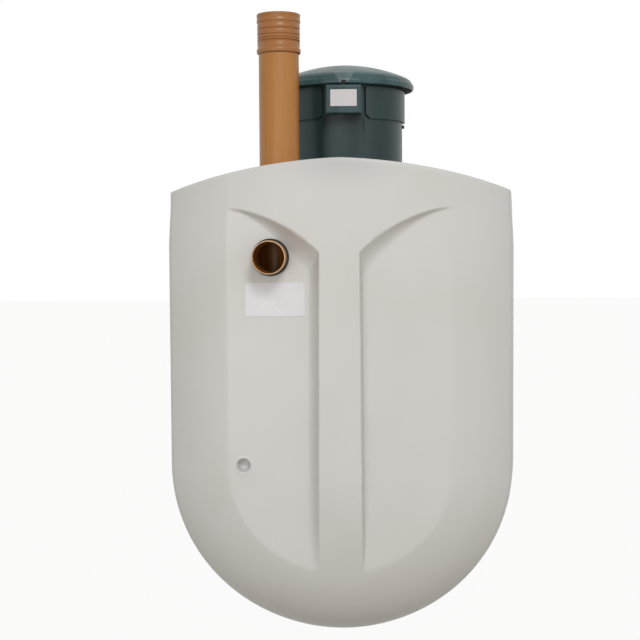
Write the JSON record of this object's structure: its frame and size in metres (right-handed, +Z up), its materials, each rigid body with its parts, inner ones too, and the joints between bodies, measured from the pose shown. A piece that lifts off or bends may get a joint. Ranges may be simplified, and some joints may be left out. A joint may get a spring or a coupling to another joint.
{
  "type": "sewage treatment plant",
  "caption": "Packaged sewage treatment plant: round-bottomed plastic tank with end-wall drain stubs, an upright desludging pipe and a lidded access turret.",
  "frame": {"origin": "middle of the tank's footprint on the floor, under the access turret", "axes": "+X across the tank, +Y along it from the inlet end to the outlet end, +Z up"},
  "size_m": [1.204, 2.86, 2.275],
  "materials": {
    "tank_shell": "satin off-white moulded polyethylene",
    "drain_pipe": "orange-brown drain pipe",
    "black_rubber": "matt black rubber",
    "turret_plastic": "satin dark green-grey plastic",
    "latch_plastic": "satin dark green-grey plastic",
    "lid_plastic": "satin green-grey plastic",
    "tab_plastic": "satin pale green-grey plastic",
    "black_plastic": "black plastic",
    "white_plate": "white plate, bare",
    "grey_plate": "pale plate, bare",
    "steel": "zinc-plated steel",
    "bracket_plastic": "satin dark green-grey plastic"
  },
  "bodies": {
    "tank": {"front_end": "tank_shell", "rear_end": "tank_shell", "tank_roof": "tank_shell", "left_wall": "tank_shell", "right_wall": "tank_shell", "left_bilge": "tank_shell", "right_bilge": "tank_shell", "front_foot": "tank_shell", "rear_foot": "tank_shell", "inlet_pipe": "drain_pipe", "outlet_pipe": "drain_pipe", "inlet_dip_pipe": "drain_pipe", "outlet_dip_pipe": "drain_pipe", "sludge_pipe": "drain_pipe", "sludge_coupling": "drain_pipe", "inlet_seal": "black_rubber", "outlet_seal": "black_rubber", "coupling_upper_seal": "black_rubber", "coupling_lower_seal": "black_rubber", "sludge_grommet": "black_rubber", "neck_gasket": "black_rubber", "turret_neck": "turret_plastic", "turret_collar": "turret_plastic", "collar_screws": "turret_plastic", "latch_box": "latch_plastic", "inlet_label": "white_plate", "turret_label": "grey_plate", "neck_bolts": "steel", "hinge_pin": "steel", "hinge_bracket": "bracket_plastic"},
    "lid": {"lid": "lid_plastic", "lid_gasket": "black_rubber", "latch_tab": "tab_plastic", "latch_catch": "black_plastic", "latch_bolt": "steel", "hinge_arms": "lid_plastic"}
  },
  "joints": [
    {"name": "lid_hinge", "type": "hinge", "parent": "tank", "child": "lid", "pos_m": [0, 0.317, 2.023], "axis": [-1, 0, 0], "range_deg": [0, 105]}
  ]
}
